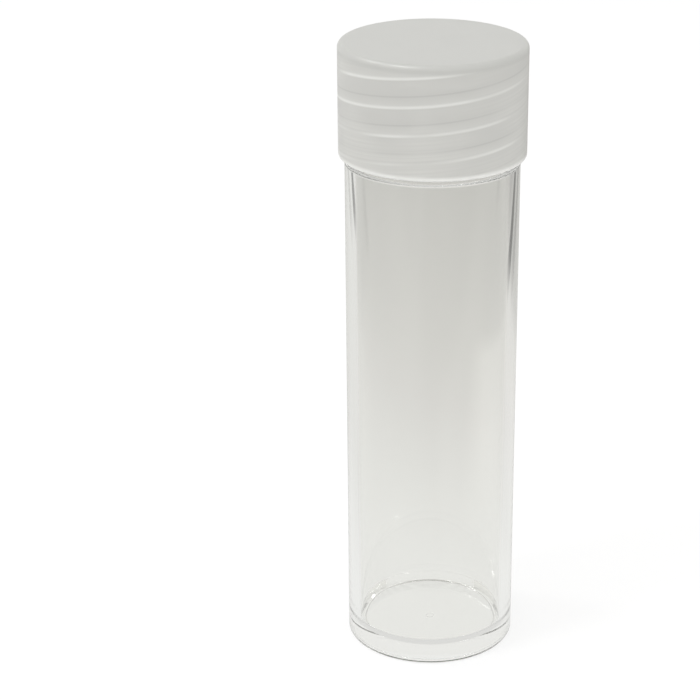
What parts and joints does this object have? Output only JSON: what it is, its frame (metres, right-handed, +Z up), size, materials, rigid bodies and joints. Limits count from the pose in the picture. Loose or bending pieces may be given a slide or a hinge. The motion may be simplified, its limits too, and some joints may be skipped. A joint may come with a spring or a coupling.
{
  "type": "coin tube",
  "caption": "Clear round storage tube with a recessed foot, a threaded neck and a frosted translucent screw cap, for a stack of small coins.",
  "frame": {"origin": "centre of the foot ring, on the plane that the tube stands on", "axes": "+Z up along the tube's axis, from the foot to the cap; -Y is the front"},
  "size_m": [0.0242, 0.024, 0.0831],
  "materials": {
    "clear_tube": "clear polished polystyrene",
    "frosted_cap": "frosted translucent polyethylene"
  },
  "bodies": {
    "tube": {"coin_tube": "clear_tube"},
    "cap_seat": {"cap_seat_ring": "frosted_cap"},
    "cap": {"screw_cap": "frosted_cap"}
  },
  "joints": [
    {"name": "cap_lift", "type": "slide", "parent": "tube", "child": "cap_seat", "axis": [0, 0, 1], "range_m": [0, 0.0361]},
    {"name": "cap_turn", "type": "hinge", "parent": "cap_seat", "child": "cap", "pos_m": [0, 0, 0.0754], "axis": [0, 0, 1], "range_deg": [0, 1800]}
  ],
  "couplings": [
    {"joint": "cap_lift", "follows": "cap_turn", "m_per_rad": 0.0011459}
  ]
}
